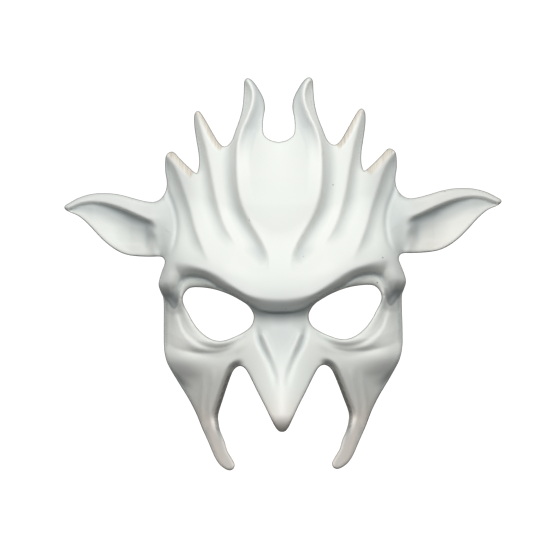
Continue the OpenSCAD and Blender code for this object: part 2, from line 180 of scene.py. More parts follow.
def drop(off, along, tall, reach, spread, end):
    """A scale's edge: sharp at the line, steep just outside it, then rising slowly back to the skin."""
    out = ramp(off, 0.35)
    return tall * (1 - np.exp(-out / reach)) * np.exp(-out / spread) * faded(along, 0, end)


def base_skin(x, z):
    """The big forms: the wrap of the head, the swept ears, the brow, the beak and the cheeks."""
    side = np.interp(z, [24, 34, 37.5, 43, 48.5, 54, 60.5, 66.7, 73, 80, 90, 100],
                     [96, 71, 67, 64.2, 63, 62.5, 63.1, 64.9, 67.4, 69.6, 80, 90])
    past = ramp(x - side, 1.2)
    wrap = np.clip(x - past, 0, WRAP_END) / WRAP_WIDE
    y = WRAP_DEEP * (1 - np.sqrt(1 - wrap**2)) + EAR_SWEEP * past + EAR_STEP * (1 - np.exp(-past / 10))
    y = y - WALL + LEAN * z * z
    # brow, with its drooping lobes, and the lids under it
    edge, _ = beside(BROW_EDGE, x, z)
    crest, _ = beside(BROW_CREST, x, z)
    up = np.clip(edge / np.maximum(edge - crest, 0.01), 0, 1)
    under = 1 - (1 - up) ** 1.8
    on_brow = rise(edge, -0.3, 0.7)
    y = y - (BROW_LIP * on_brow + BROW_OVERHANG * under) * (1 - 0.8 * rise(crest, 0, 40))
    on_lobe = on_brow * rise(z, 21, 5) * rise(x, 56, 61) * rise(x, 72, 68)
    y = y + LOBE_TUCK * on_lobe * (0.3 + 0.7 * rise(up, 0, 0.3))
    y = y - LID_SWELL * rise(z, 1, 13) * rise(x, 22, 36) * rise(x, 67, 60) * rise(edge, 1.2, -0.8)
    y = y + SOCKET * rise(edge, 0.5, -4.5) * rise(z, -20, -2) * rise(x, 5, 15)
    # beak
    down = ramp(-z - 1, 1.5)
    across = np.clip(x / (18 + 0.42 * down), 0, 1)
    y = y - BEAK_REACH * (1 - np.exp(-((down / 41) ** 1.9))) * (1 - across**1.7) ** 1.4
    y = y + BEAK_HOOK * np.clip(1 - (z - BEAK_END) / 11, 0, 1) ** 2 * rise(x, 12, 8)
    # cheeks and tines
    y = y + rise(x, 15, 27) * (JAW_BACK * ramp(-z - 31, 3) - TINE_FORWARD * ramp(-z - 66, 6))
    return y - CHEEK_SWELL * hump(z, -25, 10) * rise(x, 36, 64) * rise(z, -45, -33)


def fine_skin(x, z):
    """What the sculptor's tools added to the big forms."""
    y = base_skin(x, z)
    for line, cut, half_width, start, end in STROKES:
        off, along = beside(line, x, z)
        y = y + cut * hump(off, 0, half_width) * faded(along, start, end)
    # leaf panel, hollowed inside the rim that runs up the tall horns, and the other horns' crests
    off, along = beside(LEAF, x, z)
    y = y + drop(off, along, 12.0, 5.0, 13, 0) * rise(z, 24, 40)
    inward = np.maximum(-off, 0)
    channel = np.interp(z, [66, 82, 98, 112, 140], [0, 1.5, 4.0, 7.0, 7.0])
    y = y + channel * (1 - np.exp(-inward / 4.6)) * np.exp(-np.maximum(inward - 8, 0) / 10)
    y = y + drop(*beside(CREST_2, x, z), 7.6, 3.6, 11, 0.2)
    y = y + drop(*beside(CREST_3, x, z), 6.4, 3.0, 14, 0.22)
    for line, wide, steep in ((BEVEL_2, 3.4, 1.0), (BEVEL_3, 4.4, 0.9)):
        off, along = beside(line, x, z)
        y = y + steep * ramp(wide - np.abs(off), 0.3) * faded(along, 0.05, 0.2)
    # ear: a rolled upper rim over a bowl, with a knob at its root
    off, _ = beside(HELIX, x, z)
    rim = np.abs(beside(EAR, x, z)[0])
    ear = rise(x, 63, 79) * rise(z, 33, 37) * np.clip((133 - x) / 42, 0.45, 1)
    loose = 0.9 * (1 + 5 * rise(x, 81, 72))
    y = y - ear * EAR_ROLL * rise(off, -loose, loose) * rise(rim, 0, 2.2)
    under = np.maximum(-off, 0)
    bowl = np.clip(under / np.maximum(under + rim, 0.1), 0, 1)
    y = y + ear * EAR_BOWL * np.sin(np.pi * bowl**0.8) * rise(x, 73, 82)
    off, _ = beside(TRAGUS, x, z)
    y = y + 0.12 * ramp(50.5 - z, 1) * rise(off, 1, -3) * rise(x, 66, 72) * rise(z, 33, 37)
    y = y - EAR_KNOB * hump(np.hypot(x - 76.6, z - 51.0), 0, 2.8)
    # lids, cheekbone and cheek
    opening = np.abs(near(eye, x, z, closed=True)[0])
    y = y - 1.3 * hump(opening, 2.8, 2.4) * rise(z, 5, 12) * rise(x, 26, 36)
    off, along = beside(LID, x, z)
    y = y - 0.6 * hump(off, 3, 2) * faded(along, 0.15, 0.2)
    bone, _ = beside(CHEEKBONE, x, z)
    y = y + LEDGE_CUT * np.exp(-np.abs(bone) / 3.2) * rise(x, 70, 50) * rise(x, 22, 34)
    shelf = (0.5 + 0.5 * rise(x, 72, 46)) * rise(x, 76, 64) * rise(x, 22, 34)
    shelf = shelf * np.exp(-np.maximum(-bone - 7, 0) / 11)
    y = y - SHELF_OUT * (1 - np.exp(-ramp(-bone, 0.5) / 5)) * shelf
    off, along = beside(CHEEK_UNDER, x, z)
    y = y + JAW_CUT * rise(off, -1.6, 3.6) * np.exp(-np.maximum(off - 6, 0) / 16) * faded(along, 0, 0.6)
    gap, along = near(gap_rim, x, z)
    rolled = np.clip(1 - np.abs(gap) / 4.4, 0, 1) ** 1.3
    return y + GAP_ROLL * rolled * rise(z, -74, -60) * faded(along, 0, 0.1)


def slope_of(x, z, reach):
    """How steeply the big forms turn away, measured over a reach to each side."""
    across = base_skin(x + reach, z) - base_skin(np.abs(x - reach), z)
    upward = base_skin(x, z + reach) - base_skin(x, z - reach)
    return np.hypot(across, upward) / (2 * reach)


def inner_skin(x, z):
    """The inner face, a wall's thickness behind the big forms and clear of the tool marks."""
    through = WALL * np.minimum(np.sqrt(1 + slope_of(x, z, 0.8) ** 2), 2.2)
    return np.maximum(base_skin(x, z) + through, fine_skin(x, z) + 2.2)


def evenly(line, step):
    """Points a step apart along a closed line."""
    loop = np.vstack([line, line[:1]])
    run = np.concatenate([[0], np.cumsum(np.hypot(*np.diff(loop, axis=0).T))])
    at = np.linspace(0, run[-1], int(run[-1] / step), endpoint=False)
    return np.column_stack([np.interp(at, run, loop[:, k]) for k in (0, 1)])


def crossings(line, x, z):
    """Whether points are inside a closed line."""
    odd = np.zeros(x.shape, bool)
    for a, b in zip(line, np.roll(line, -1, axis=0)):
        spans = (a[1] > z) != (b[1] > z)
        if a[1] != b[1]:
            odd ^= spans & (x < a[0] + (z - a[1]) * (b[0] - a[0]) / (b[1] - a[1]))
    return odd


def inside(x, z):
    """How far a point is inside the shell's edge, negative outside."""
    gaps = []
    for line, keeps_inside in zip(rims, (1, -1, -1)):
        where = np.where(crossings(line, x, z), keeps_inside, -keeps_inside)
        gaps.append(np.abs(near(line, x, z, closed=True)[0]) * where)
    return np.minimum.reduce(gaps)


# The ears reach 1% further out than drawn.
EAR = [(px * (1 + 0.01 * min(max((px - 72) / 30, 0), 1)), pz) for px, pz in EAR]
PER = 5
to_tine = CROWN + EAR + TEMPLE_TO_TINE
half_outline = spline(to_tine + BEAK, PER)
gap_rim = half_outline[PER * (len(to_tine) - 14):PER * (len(to_tine) + 1)]
outline = np.vstack([half_outline, half_outline[-2:0:-1] * [-1, 1]])
eye = spline(EYE, PER, closed=True)
rims = [outline, eye, eye * [-1, 1]]

# The skin's points: along the rims, in rings close to them, and in a staggered grid between
STEP = 0.95
ROUND = 1.6
loops = [evenly(line, STEP) for line in rims]
points = list(loops)
edges, start = [], 0
for loop in loops:
    n = len(loop)
    edges += [(start + i, start + (i + 1) % n) for i in range(n)]
    start += n
on_rims = start
for depth in (0.3, 0.85):
    for loop in loops:
        along = np.roll(loop, -1, axis=0) - np.roll(loop, 1, axis=0)
        across = np.column_stack([-along[:, 1], along[:, 0]]) / np.hypot(*along.T)[:, None]
        for sign in (1, -1):
            ring = loop + sign * depth * across
            keep = np.abs(inside(ring[:, 0], ring[:, 1]) - depth) < 0.12 * depth
            points.append(ring[keep])
columns = np.arange(-133, 133, STEP)
grid = np.vstack([np.column_stack([columns + (k % 2) * STEP / 2, np.full(len(columns), z)])
                  for k, z in enumerate(np.arange(-94, 145, STEP * 0.87))])
points.append(grid[inside(grid[:, 0], grid[:, 1]) > 1.45])
flat = [Vector(p) for p in np.vstack(points)]
flat, _, faces, _, _, _ = delaunay_2d_cdt(flat, edges, [], 0, 1e-5, False)
flat, faces = np.array([tuple(v) for v in flat]), np.array(faces)
middle = flat[faces].mean(axis=1)
faces = faces[inside(middle[:, 0], middle[:, 1]) > 0]
x, z = np.abs(flat[:, 0]), flat[:, 1]
from_edge = np.maximum(inside(flat[:, 0], z), 0)
from_edge[:on_rims] = 0
# The clay was not quite even: the wearer's left is a little wider.
flat[:, 0] *= 1 + 0.018 * rise(flat[:, 0], 0, 60)
front = fine_skin(x, z)
back = inner_skin(x, z)
middle = (front + back) / 2
turn = np.sqrt(1 - (1 - np.clip(from_edge / ROUND, 0, 1)) ** 2)
front = middle - (middle - front) * turn
back = middle + (back - middle) * turn

# Where colours lie on the front, with painted shade and highlight: the skin is compared with its own settled,
# smoothed form.
links_of = np.vstack([faces[:, [0, 1]], faces[:, [1, 2]], faces[:, [2, 0]]])
links_of = np.unique(np.sort(links_of, axis=1), axis=0)
neighbours = np.maximum(np.bincount(links_of.ravel(), minlength=len(flat)), 1)
settled = front.copy()
for _ in range(30):
    total = np.bincount(links_of[:, 0], settled[links_of[:, 1]], len(flat))
    total += np.bincount(links_of[:, 1], settled[links_of[:, 0]], len(flat))
    settled = total / neighbours
# Painted shade where the skin lies behind its smoothed form, a painted highlight where it stands before it.
hollow_shade_and_crest_light = np.where(from_edge > 1.2, (front - settled) / 1.2, 0)
warm = rise(z, -38, -68) + 0.35 * rise(flat[:, 0], 72, 92)
# Painted shade, grey, round the nose, under the brow, at the temples, in the ears, in the channels of the
# tall horns, on the lobes and at the root of the tines.
lobe = rise(beside(BROW_EDGE, x, z)[0], -0.4, 0.8) * rise(x, 55.5, 59.5) * rise(x, 74, 71)
under_helix = -beside(HELIX, x, z)[0]
inside_leaf = -beside(LEAF, x, z)[0]
gap_edge = np.abs(near(gap_rim, x, z)[0])
painted_shade = 0.6 * hump(x, 0, 15) * hump(z, -10, 16) + 0.22 * hump(x, 0, 40) * hump(z, 14, 12)
painted_shade += 0.4 * hump(x, 0, 45) * hump(z, 5.5, 4.5)
painted_shade += 0.2 * rise(x, 46, 62) * rise(z, 40, 60) + 0.42 * hump(x, 70, 7) * hump(z, 48, 20)
painted_shade += 0.42 * rise(under_helix, 0, 1.5) * rise(under_helix, 13, 4) * rise(x, 74, 78) * rise(x, 130, 110)
painted_shade += 0.65 * rise(z, 90, 118) * rise(inside_leaf, 0.6, 2.1) * hump(np.maximum(inside_leaf, 3), 3, 7)
painted_shade += lobe * rise(z, 20, 8) + 0.5 * rise(gap_edge, 5, 1) * hump(z, -68, 9)
# The dark edge: darker along the rim all round, with painted shade faintly under the lobes and broad inside
# the jaw gap
jaw_gap_shade = 0.95 * rise(gap_edge, 2.7, 1.6) * rise(z, -76, -67) * rise(z, -31.5, -35.5)
edge_tone = np.maximum.reduce([np.clip(1 - from_edge / 0.9, 0, 1), 0.5 * lobe * rise(z, 18, 9), jaw_gap_shade])
cream = np.zeros(len(flat))
for line, wide in ((BEVEL_2, 4.2), (BEVEL_3, 5.4)):
    off, along = beside(line, x, z)
    cream = np.maximum(cream, rise(np.abs(off), wide, wide - 1.6) * faded(along, 0.05, 0.1))
raw_back = np.where(from_edge < 0.2, 0.0, 1.0)

shell_form = bmesh.new()
tones = {"edge": edge_tone, "hollow_shade_and_crest_light": hollow_shade_and_crest_light, "warm": warm, "cream": cream, "painted_shade": painted_shade, "raw": 0 * x}
tone_layers = [shell_form.verts.layers.float.new(name) for name in tones]
for depth, corners_of, raw in ((front, faces, 0 * x), (back, faces[:, [0, 2, 1]], raw_back)):
    corners = [shell_form.verts.new((px * MM, y * MM, pz * MM)) for (px, pz), y in zip(flat, depth)]
    tones["raw"] = raw
    for layer, tone in zip(tone_layers, tones.values()):
        for corner, value in zip(corners, tone):
            corner[layer] = value
    for a, b, c in corners_of:
        shell_form.faces.new([corners[a], corners[b], corners[c]])
loose_ends = [v for v in shell_form.verts if not v.link_faces]
bmesh.ops.delete(shell_form, geom=loose_ends, context="VERTS")
bmesh.ops.remove_doubles(shell_form, verts=shell_form.verts, dist=1e-7)
shell_mesh = bpy.data.meshes.new("skin_of_mask")
shell_form.to_mesh(shell_mesh)
shell_form.free()
shell_mesh.shade_smooth()
shell = bpy.data.objects.new("skin_of_mask", shell_mesh)
bpy.context.collection.objects.link(shell)


def add(tree, kind, inputs=(), **settings):
    """A new node with its inputs set or linked, by name or by number."""
    made = tree.nodes.new(kind)
    for key, value in settings.items():
        setattr(made, key, value)
    for key, value in dict(inputs).items():
        if isinstance(value, bpy.types.NodeSocket):
            tree.links.new(value, made.inputs[key])
        else:
            made.inputs[key].default_value = value
    return made


def math_of(tree, how, a, b=0.0):
    return add(tree, "ShaderNodeMath", {0: a, 1: b}, operation=how).outputs[0]


def noise_of(tree, place, scale, detail=3.0, rough=0.5):
    inputs = {"Vector": place, "Scale": scale, "Detail": detail, "Roughness": rough}
    return add(tree, "ShaderNodeTexNoise", inputs).outputs["Fac"]


def stretched(tree, place, scale, turned=(0, 0, 0)):
    """Coordinates scaled by different amounts along each axis, for streaks and scratches."""
    return add(tree, "ShaderNodeMapping", {"Vector": place, "Scale": scale, "Rotation": turned}).outputs[0]


def between(tree, value, low, high, to_low=0.0, to_high=1.0):
    inputs = {"Value": value, "From Min": low, "From Max": high, "To Min": to_low, "To Max": to_high}
    return add(tree, "ShaderNodeMapRange", inputs).outputs["Result"]


def tint(tree, share, a, b):
    """Colour a turning to b by a share; each can be a socket or a plain value."""
    mixer = add(tree, "ShaderNodeMix", data_type="RGBA", clamp_factor=True)
    for socket, value in zip((mixer.inputs[0], mixer.inputs[6], mixer.inputs[7]), (share, a, b)):
        if isinstance(value, bpy.types.NodeSocket):
            tree.links.new(value, socket)
        else:
            socket.default_value = value if socket == mixer.inputs[0] else (*value, 1)
    return mixer.outputs[2]


def bump_of(tree, height, strength, distance, under=None, invert=False):
    """A raised surface over another; distance is in metres."""
    inputs = {"Height": height, "Strength": strength, "Distance": distance}
    if under is not None:
        inputs["Normal"] = under
    return add(tree, "ShaderNodeBump", inputs, invert=invert).outputs[0]


def new_paint(name):
    made = bpy.data.materials.new(name)
    made.use_nodes = True
    return made, made.node_tree, made.node_tree.nodes["Principled BSDF"]


def coat(tree, bsdf, colour, roughness, relief):
    """Joins a material's colour, roughness and relief to its surface."""
    for label, value in (("Base Color", colour), ("Roughness", roughness), ("Normal", relief)):
        tree.links.new(value, bsdf.inputs[label])


def new_group(name, ins, outs):
    """An empty node group with number inputs unless their default is None, and number outputs."""
    made = bpy.data.node_groups.new(name, "ShaderNodeTree")
    for label, default in ins.items():
        kind = "NodeSocketVector" if default is None else "NodeSocketFloat"
        socket = made.interface.new_socket(label, in_out="INPUT", socket_type=kind)
        if default is not None:
            socket.default_value = default
    for label in outs:
        made.interface.new_socket(label, in_out="OUTPUT", socket_type="NodeSocketFloat")
    return made, made.nodes.new("NodeGroupInput").outputs, made.nodes.new("NodeGroupOutput").inputs


# Tiny pits and grains that painted, cast and rubbed surfaces share.
speck_inputs = {"Place": None, "Pit scale": 90.0, "Grain scale": 1400.0}
specks, speck_in, speck_out = new_group("Pits and grain", speck_inputs, ["Pits", "Grain", "Clouds"])
cells = add(specks, "ShaderNodeTexVoronoi", {"Vector": speck_in["Place"], "Scale": speck_in["Pit scale"]})
pit = between(specks, cells.outputs["Distance"], 0.022, 0.055, 1, 0)
some = between(specks, noise_of(specks, cells.outputs["Position"], 71.0, 0.0), 0.56, 0.60)
specks.links.new(math_of(specks, "MULTIPLY", pit, some), speck_out["Pits"])
specks.links.new(noise_of(specks, speck_in["Place"], speck_in["Grain scale"], 2.0), speck_out["Grain"])
specks.links.new(noise_of(specks, speck_in["Place"], 21.0, 4.0, 0.55), speck_out["Clouds"])


def speckled(tree, pits=90.0, grain=1400.0):
    """Object coordinates, with the group's pits, grain and clouds in them."""
    place = add(tree, "ShaderNodeTexCoord").outputs["Object"]
    marks = add(tree, "ShaderNodeGroup", node_tree=specks)
    tree.links.new(place, marks.inputs["Place"])
    marks.inputs["Pit scale"].default_value = pits
    marks.inputs["Grain scale"].default_value = grain
    return place, marks.outputs["Pits"], marks.outputs["Grain"], marks.outputs["Clouds"]


shell_paint, tree, bsdf = new_paint("White mask paint")
place, pits, grain, clouds = speckled(tree)
masks = {name: add(tree, "ShaderNodeAttribute", attribute_name=name).outputs["Fac"] for name in tones}
slanting = stretched(tree, place, (900, 60, 60), (0, 0.8, 0))
hatch = add(tree, "ShaderNodeTexNoise", {"Vector": slanting, "Scale": 1.0})
bare = tint(tree, between(tree, hatch.outputs["Fac"], 0.35, 0.6), (0.60, 0.52, 0.42), (0.78, 0.72, 0.62))
skin_tone = tint(tree, between(tree, clouds, 0.35, 0.65), (0.850, 0.885, 0.835), (0.880, 0.890, 0.840))
for share, colour in (
        (math_of(tree, "MULTIPLY", masks["warm"], 0.8), (0.875, 0.79, 0.71)),
        # painted shade, grey, in the places listed above where the shell falls into shade
        (masks["painted_shade"], (0.52, 0.57, 0.57)),
        (math_of(tree, "MULTIPLY", masks["cream"], 0.8), bare),
        # painted shade in the hollows
        (between(tree, masks["hollow_shade_and_crest_light"], 0.15, 1.3, 0.0, 0.5), (0.37, 0.435, 0.45)),
        # painted highlight on the crests
        (between(tree, masks["hollow_shade_and_crest_light"], -0.2, -1.3, 0.0, 0.35), (0.93, 0.935, 0.92)),
        (math_of(tree, "MULTIPLY", pits, 0.75), (0.22, 0.21, 0.20)),
        # the dark edge, with painted shade under the lobes and in the jaw gap
        (math_of(tree, "MULTIPLY", masks["edge"], 0.85), (0.19, 0.185, 0.175))):
    skin_tone = tint(tree, share, skin_tone, colour)
streaky = noise_of(tree, stretched(tree, place, (60, 60, 14)), 1.0, 5.0)
cast = tint(tree, between(tree, streaky, 0.3, 0.7), (0.55, 0.45, 0.31), (0.70, 0.60, 0.45))
cast = tint(tree, math_of(tree, "MULTIPLY", pits, 0.9), cast, (0.28, 0.20, 0.12))
sheen = between(tree, clouds, 0.3, 0.7, 0.50, 0.62)
sheen = add(tree, "ShaderNodeMix", {"Factor": masks["raw"], "A": sheen, "B": 0.8}).outputs[0]
relief = bump_of(tree, noise_of(tree, place, 75.0, 2.0), 0.5, 0.0002)
relief = bump_of(tree, grain, 0.4, 0.00006, relief)
relief = bump_of(tree, pits, 1.0, 0.0004, relief, invert=True)
coat(tree, bsdf, tint(tree, masks["raw"], skin_tone, cast), sheen, relief)
shell_mesh.materials.append(shell_paint)
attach(shell, "mask")
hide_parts("mask_shell")

# ---- Pads
# A brow pad, two nose pads and two cheek pads: soft foam in brushed cloth, with a corded seam round the edge.
# Each is glued to the inner face of the shell, and its stuffing domes the side that the wearer feels.
PAD_THICK = 6.0
UNSTUFFED = 0.82
GLUE = 0.3
SEAM_R = 0.7
SWELL_FRAMES = 20
SWELL_LIMIT = 1.2
# A pad's side from its seam to its top, as shares of its half width and of its height
DOME = [(1.0, 0.0), (1.0, 0.28), (0.985, 0.55), (0.93, 0.78),
        (0.82, 0.9), (0.6, 0.97), (0.3, 1.0), (0.0, 1.0)]
# Name, CAD node, middle, half run and radius in millimetres, tilt, and steps along a side
pad_plans = [("pad_of_brow", "brow_pad", (0, 48), 36, 8, 0, 40)]
for side, word in ((1, "left"), (-1, "right")):
    nose_tilt, cheek_tilt = side * math.radians(108), side * math.radians(12)
    pad_plans.append((f"pad_of_{word}_nose", f"{word}_nose_pad", (side * 8.5, -8), 4.2, 4.2, nose_tilt, 10))
    pad_plans.append((f"pad_of_{word}_cheek", f"{word}_cheek_pad", (side * 53, -28), 7, 6.5, cheek_tilt, 16))


def stadium(middle, half_run, radius, tilt, steps):
    """Core points and outward directions round a pad's outline, as (x, z)."""
    turn = np.array([[math.cos(tilt), -math.sin(tilt)], [math.sin(tilt), math.cos(tilt)]])
    along = np.linspace(-1, 1, steps)
    end = np.linspace(-90, 90, steps // 2 + 2)[1:-1] * math.pi / 180
    core, out = [], []
    for sign in (1, -1):
        core += [np.column_stack([sign * along * half_run, 0 * along]),
                 np.column_stack([0 * end + sign * half_run, 0 * end])]
        out += [np.column_stack([0 * along, 0 * along - sign]),
                np.column_stack([sign * np.cos(end), sign * np.sin(end)])]
    return np.concatenate(core) @ turn.T + middle, radius * (np.concatenate(out) @ turn.T)


def on_inner_face(flat_points, depth):
    """Points a given depth behind the inner face, measured square to it."""
    px, pz = np.abs(flat_points[:, 0]), flat_points[:, 1]
    y = inner_skin(px, pz) + depth * np.minimum(np.sqrt(1 + slope_of(px, pz, 1.5) ** 2), 1.7)
    return np.column_stack([flat_points[:, 0], y, pz]) * MM


def strip_faces(form, rows):
    """Quads between rows of vertices that each run round a ring."""
    for low, high in zip(rows, rows[1:]):
        n = len(low)
        for k in range(n):
            form.faces.new([low[k], low[(k + 1) % n], high[(k + 1) % n], high[k]])


def piece_of(name, form, material, body, nodes):
    """A finished object from a mesh form, riding on a body in place of CAD nodes."""
    bmesh.ops.remove_doubles(form, verts=form.verts, dist=1e-6)
    bmesh.ops.dissolve_degenerate(form, edges=form.edges, dist=1e-7)
    bmesh.ops.recalc_face_normals(form, faces=form.faces)
    made = bpy.data.meshes.new(name)
    form.to_mesh(made)
    form.free()
    made.shade_smooth()
    made.materials.append(material)
    piece = bpy.data.objects.new(name, made)
    bpy.context.collection.objects.link(piece)
    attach(piece, body)
    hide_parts(*nodes)
    return piece


def stuffed(piece, held, cap):
    """Swells a closed piece by cloth simulation, its glued side held, and keeps the shape."""
    rest = np.array([v.co for v in piece.data.vertices])
    glued = piece.vertex_groups.new(name="glued")
    glued.add(held, 1.0, "REPLACE")
    swell = piece.modifiers.new("Cloth", "CLOTH")
    swell.settings.vertex_group_mass = "glued"
    swell.settings.use_pressure = True
    swell.settings.uniform_pressure_force = 4
    swell.settings.effector_weights.gravity = 0
    swell.settings.quality = 4
    swell.point_cache.frame_end = SWELL_FRAMES
    for step in range(1, SWELL_FRAMES + 1):
        bpy.context.scene.frame_set(step)
    full = piece.evaluated_get(bpy.context.evaluated_depsgraph_get())
    move = np.array([v.co for v in full.data.vertices]) - rest
    piece.modifiers.remove(swell)
    piece.vertex_groups.clear()
    bpy.context.scene.frame_set(1)
    far = np.maximum(np.linalg.norm(move, axis=1) / cap, 1)[:, None]
    for vertex, place in zip(piece.data.vertices, rest + move / far):
        vertex.co = place


# Threads over and under each other, from two distances counted in threads.
weave, weave_in, weave_out = new_group("Plain weave", {"Along": 0.0, "Across": 0.0}, ["Height"])
arcs, counts = [], []
for label in ("Along", "Across"):
    past_thread = math_of(weave, "FRACT", weave_in[label])
    arcs.append(math_of(weave, "SINE", math_of(weave, "MULTIPLY", past_thread, math.pi)))
    counts.append(math_of(weave, "FLOOR", weave_in[label]))
half_count = math_of(weave, "MULTIPLY", math_of(weave, "ADD", *counts), 0.5)
over = math_of(weave, "MULTIPLY", math_of(weave, "FRACT", half_count), 2.0)
lower_thread = math_of(weave, "MULTIPLY", arcs[0], 0.75)
thread_height = add(weave, "ShaderNodeMix", {"Factor": over, "A": lower_thread, "B": arcs[1]}).outputs[0]
weave.links.new(thread_height, weave_out["Height"])


def cloth_paint(name, dark, light, along, across, roughness, depth, source="Object"):
    """A woven material. along and across say which coordinate counts threads, and how many to a metre."""
    made, tree, bsdf = new_paint(name)
    _, _, grain, clouds = speckled(tree, grain=2600.0)
    split = add(tree, "ShaderNodeSeparateXYZ", {0: add(tree, "ShaderNodeTexCoord").outputs[source]}).outputs
    woven = add(tree, "ShaderNodeGroup", node_tree=weave)
    for label, (axis, threads) in (("Along", along), ("Across", across)):
        tree.links.new(math_of(tree, "MULTIPLY", split[axis], threads), woven.inputs[label])
    height = woven.outputs["Height"]
    dulled, bright = (tuple(min(share * c, 1) for c in light) for share in (0.86, 1.08))
    # Painted shade: darker where the threads dip between crossings, lighter on their tops.
    tone = tint(tree, between(tree, height, 0.1, 0.8), dark, light)
    tone = tint(tree, between(tree, clouds, 0.4, 0.7, 0, 0.35), tone, dulled)
    tone = tint(tree, between(tree, grain, 0.5, 0.8, 0, 0.25), tone, bright)
    sheen = between(tree, grain, 0.3, 0.7, roughness - 0.06, roughness + 0.06)
    relief = bump_of(tree, height, 0.8, depth)
    coat(tree, bsdf, tone, sheen, bump_of(tree, grain, 0.6, depth * 0.4, relief))
    bsdf.inputs["Sheen Weight"].default_value = 0.35
    bsdf.inputs["Sheen Roughness"].default_value = 0.6
    return made


pad_cloth = cloth_paint("Brushed pad cloth", (0.42, 0.40, 0.36), (0.66, 0.63, 0.58),
                        (0, 1300), (2, 1300), 0.86, 0.00012)
for name, node, middle, half_run, radius, tilt, steps in pad_plans:
    core, out = stadium(np.array(middle), half_run, radius - 0.4, tilt, steps)
    form = bmesh.new()
    rings = []
    for share, height in DOME:
        behind = GLUE + PAD_THICK * UNSTUFFED * height
        rings.append([form.verts.new(p) for p in on_inner_face(core + share * out, behind)])
    for share in (0.6, 0.0):
        rings.insert(0, [form.verts.new(p) for p in on_inner_face(core + share * out, GLUE)])
    strip_faces(form, rings)
    pad = piece_of(name, form, pad_cloth, "mask", [node])
    at = np.array([v.co for v in pad.data.vertices]) / MM
    lift = at[:, 1] - inner_skin(np.abs(at[:, 0]), at[:, 2])
    stuffed(pad, [int(k) for k in np.where(lift < GLUE + 0.35 * PAD_THICK)[0]], SWELL_LIMIT * MM)
    # the corded seam round the edge
    seam = bmesh.new()
    seam.from_mesh(pad.data)
    loop_line = on_inner_face(core + 0.98 * out, GLUE + SEAM_R + 0.1)
    before = np.roll(loop_line, 1, axis=0)
    after = np.roll(loop_line, -1, axis=0)
    rows_of_seam = []
    for angle in np.arange(8) * math.pi / 4:
        row = []
        for a, b, c in zip(before, loop_line, after):
            way = Vector(c - a).normalized()
            outward = way.cross(Vector((0, 1, 0))).normalized()
            spoke = math.cos(angle) * outward + math.sin(angle) * way.cross(outward)
            row.append(seam.verts.new(Vector(b) + SEAM_R * MM * spoke))
        rows_of_seam.append(row)
    strip_faces(seam, rows_of_seam + rows_of_seam[:1])
    bmesh.ops.recalc_face_normals(seam, faces=seam.faces)
    seam.to_mesh(pad.data)
    seam.free()
    pad.data.shade_smooth()
    softer = pad.modifiers.new("Softer", "SUBSURF")
    softer.levels = softer.render_levels = 1

# ---- Leather tabs
# A strip of undyed leather is glued inside each temple and reaches back to carry an eyelet.
# The cut pieces keep their true shape and get rounded edges.
def dressed(node, material, round_mm, sharp=50):
    """A CAD piece with its own material and its hard edges rounded."""
    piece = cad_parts[node]
    piece.data.materials.clear()
    piece.data.materials.append(material)
    weld = piece.modifiers.new("Joined", "WELD")
    weld.merge_threshold = 1e-6
    if round_mm:
        rounded = piece.modifiers.new("Rounded", "BEVEL")
        rounded.width, rounded.segments = round_mm * MM, 2
        rounded.limit_method, rounded.angle_limit = "ANGLE", math.radians(sharp)
        rounded.use_clamp_overlap = True


leather, tree, bsdf = new_paint("Undyed leather")
place, pits, grain, clouds = speckled(tree, pits=420.0)
pebbles = add(tree, "ShaderNodeTexVoronoi", {"Vector": place, "Scale": 950.0}, feature="DISTANCE_TO_EDGE")
creases = pebbles.outputs["Distance"]
tone = tint(tree, between(tree, clouds, 0.35, 0.65), (0.50, 0.31, 0.17), (0.62, 0.42, 0.25))
tone = tint(tree, between(tree, creases, 0.0, 0.12, 0.5, 0.0), tone, (0.30, 0.17, 0.09))
tone = tint(tree, math_of(tree, "MULTIPLY", pits, 0.8), tone, (0.20, 0.11, 0.06))
relief = bump_of(tree, grain, 0.4, 0.0001, bump_of(tree, creases, 0.5, 0.00015))
coat(tree, bsdf, tone, between(tree, clouds, 0.3, 0.7, 0.48, 0.66), relief)
for word in ("left", "right"):
    dressed(f"{word}_strap_tab", leather, 0.35, 35)

# ---- Eyelets, washers and loops
# Pressed brass and bent wire, nickel plated, with fine turning scratches and a little tarnish.
# The eyelet's barrel is rolled over a washer inside, and the webbing turns on it.
nickel, tree, bsdf = new_paint("Nickel plate")
place, pits, _, clouds = speckled(tree, pits=600.0)
scratches = noise_of(tree, stretched(tree, place, (300, 2600, 2600)), 1.0, 4.0, 0.7)
tone = tint(tree, between(tree, clouds, 0.4, 0.7), (0.70, 0.67, 0.61), (0.62, 0.57, 0.48))
tone = tint(tree, math_of(tree, "MULTIPLY", pits, 0.7), tone, (0.25, 0.20, 0.14))
bsdf.inputs["Metallic"].default_value = 1.0
relief = bump_of(tree, scratches, 0.25, 0.00003)
coat(tree, bsdf, tone, between(tree, scratches, 0.3, 0.7, 0.20, 0.40), relief)
for word in ("left", "right"):
    dressed(f"{word}_eyelet", nickel, 0.3)
    dressed(f"{word}_washer", nickel, 0.2)
    dressed(f"{word}_loop", nickel, 0)

# ---- Chapes
# Cotton webbing folded in two round each loop's front bar, turning on the eyelet.
# Both layers are sewn together across, close to the bar.
web_cloth = cloth_paint("Cotton webbing", (0.50, 0.48, 0.43), (0.80, 0.78, 0.72),
                        (1, 900), (2, 620), 0.84, 0.0003)
for word in ("left", "right"):
    dressed(f"{word}_chape", web_cloth, 0.4)

